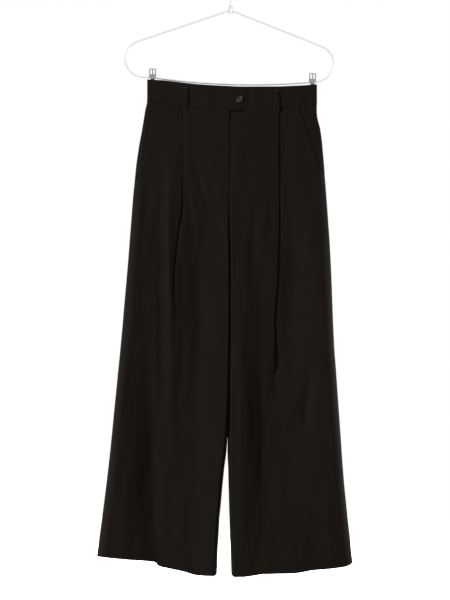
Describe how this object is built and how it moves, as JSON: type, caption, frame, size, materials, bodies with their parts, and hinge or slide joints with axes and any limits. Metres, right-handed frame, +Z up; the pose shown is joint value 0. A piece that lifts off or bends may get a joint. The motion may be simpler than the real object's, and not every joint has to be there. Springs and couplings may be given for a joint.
{
  "type": "flared trousers on a clip hanger",
  "caption": "Full-length flared trousers with front pleats, slanted pockets, a tabbed waistband and belt loops, hung by the waist from a wire clip hanger",
  "frame": {"origin": "the inside top of the hanger's hook, where a rail holds it", "axes": "+Z up along the hanging garment, -Y out of the garment's front, +X towards the wearer's left"},
  "size_m": [0.5374, 0.0806, 1.2701],
  "materials": {
    "suiting": "warm near-black woven suiting with a soft, dull face",
    "zip_tape": "dull black woven tape",
    "button": "polished dark horn-like resin",
    "hanger_wire": "bright plated wire",
    "clip": "plated stamped steel"
  },
  "bodies": {
    "root": {"front_right": "suiting", "front_left": "suiting", "back_right": "suiting", "back_left": "suiting", "pocket_facing_right": "suiting", "pocket_facing_left": "suiting", "waistband_right": "suiting", "waistband_left": "suiting", "waistband_back": "suiting", "belt_loop_right": "suiting", "belt_loop_left": "suiting", "belt_loop_back": "suiting", "fly_zip": "zip_tape", "button": "button", "hanger_hook": "hanger_wire", "hanger_neck": "hanger_wire", "hanger_shoulder_right": "hanger_wire", "hanger_shoulder_left": "hanger_wire", "hanger_bar": "hanger_wire", "clip_right_front": "clip", "clip_right_back": "clip", "clip_left_front": "clip", "clip_left_back": "clip"}
  },
  "joints": []
}
